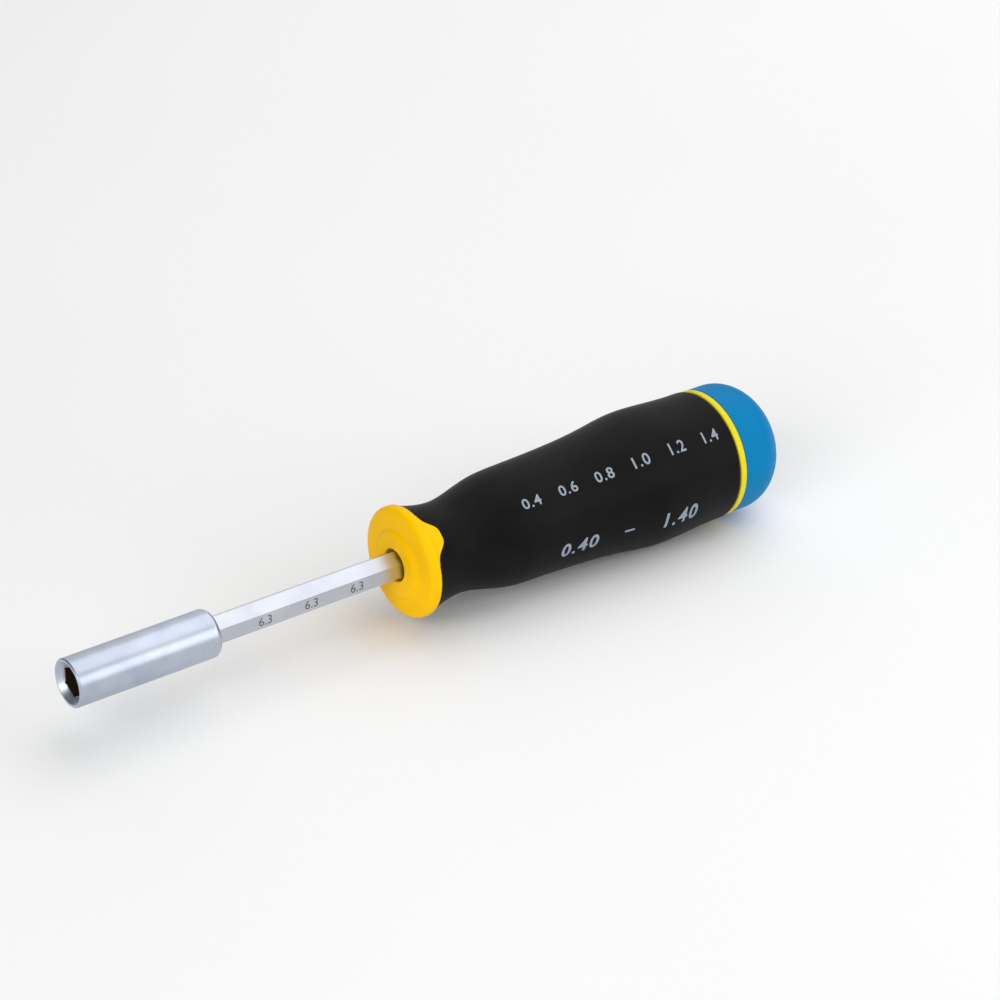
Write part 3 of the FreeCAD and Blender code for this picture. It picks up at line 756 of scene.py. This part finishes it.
class SetStage(bpy.types.Operator):
    """Sets the floor, the lights and the camera"""

    bl_idname = "torque_tool.set_stage"
    bl_label = "Set the stage"

    def execute(self, context):
        studio = context.scene.studio
        floor_mesh = bpy.data.meshes.new("floor")
        corners = [(-1, -1), (1, -1), (1, 1), (-1, 1)]
        floor_mesh.from_pydata(
            [(x * FLOOR_HALF, y * FLOOR_HALF, 0) for x, y in corners], [], [(0, 1, 2, 3)])
        floor_mesh.materials.append(studio_paper(context.scene.finish_colours.paper))
        floor = bpy.data.objects.new("floor", floor_mesh)
        context.scene.collection.objects.link(floor)

        world = bpy.data.worlds.new("studio")
        context.scene.world = world
        world.use_nodes = True
        background = world.node_tree.nodes["Background"]
        background.inputs["Color"].default_value = linear(ROOM_COLOUR)
        background.inputs["Strength"].default_value = studio.surround

        for name, (place, size) in SOFTBOXES.items():
            soft_light(name, place, size, getattr(studio, name))

        target = Vector((TIP + studio.aim_station, 0, AXIS_HEIGHT + studio.aim_rise))
        turn, rise = studio.azimuth, studio.elevation
        to_camera = Vector((
            math.sin(turn) * math.cos(rise), -math.cos(turn) * math.cos(rise), math.sin(rise)))
        lens = bpy.data.cameras.new("camera")
        lens.lens = studio.lens
        lens.sensor_width = SENSOR_WIDTH
        lens.clip_start, lens.clip_end = CLIP
        camera = bpy.data.objects.new("camera", lens)
        camera.location = target + to_camera * studio.distance
        camera.rotation_euler = (-to_camera).to_track_quat("-Z", "Y").to_euler()
        context.scene.collection.objects.link(camera)
        context.scene.camera = camera
        context.scene.view_settings.view_transform = "Standard"
        return {"FINISHED"}


def soft_light(name, place, size, power):
    """A square softbox that faces the middle of the tool."""
    lamp = bpy.data.lights.new(name, "AREA")
    lamp.shape = "SQUARE"
    lamp.size = size
    lamp.energy = power
    box = bpy.data.objects.new(name, lamp)
    box.location = place
    outward = Vector(place) - Vector((0, 0, AXIS_HEIGHT))
    box.rotation_euler = outward.to_track_quat("Z", "Y").to_euler()
    bpy.context.scene.collection.objects.link(box)


class ToolPanel(bpy.types.Panel):
    """Lists the steps of the finish"""

    bl_idname = "VIEW3D_PT_torque_tool"
    bl_label = "Torque Screwdriver"
    bl_space_type = "VIEW_3D"
    bl_region_type = "UI"
    bl_category = "Tool Finish"

    def draw(self, context):
        for operator in OPERATORS:
            self.layout.operator(operator.bl_idname)


OPERATORS = (
    FinishSteel, FinishHandle, FinishMechanism, PrintRange, PrintScale, EtchBlade, SetStage)
SETTINGS = {
    "finish_colours": FinishColours,
    "range_print": RangePrint,
    "cap_scale": CapScale,
    "studio": Studio,
}


def register():
    for group in (*SETTINGS.values(), *OPERATORS, ToolPanel):
        bpy.utils.register_class(group)
    for name, group in SETTINGS.items():
        setattr(bpy.types.Scene, name, PointerProperty(type=group))


def unregister():
    for name in SETTINGS:
        delattr(bpy.types.Scene, name)
    for group in reversed((*SETTINGS.values(), *OPERATORS, ToolPanel)):
        bpy.utils.unregister_class(group)


def main():
    """Runs every step in order."""
    register()
    bpy.ops.torque_tool.set_stage()
    bpy.ops.torque_tool.finish_steel()
    bpy.ops.torque_tool.finish_handle()
    bpy.ops.torque_tool.finish_mechanism()
    bpy.ops.torque_tool.print_range()
    bpy.ops.torque_tool.print_scale()
    bpy.ops.torque_tool.etch_blade()


if __name__ == "__main__":
    main()
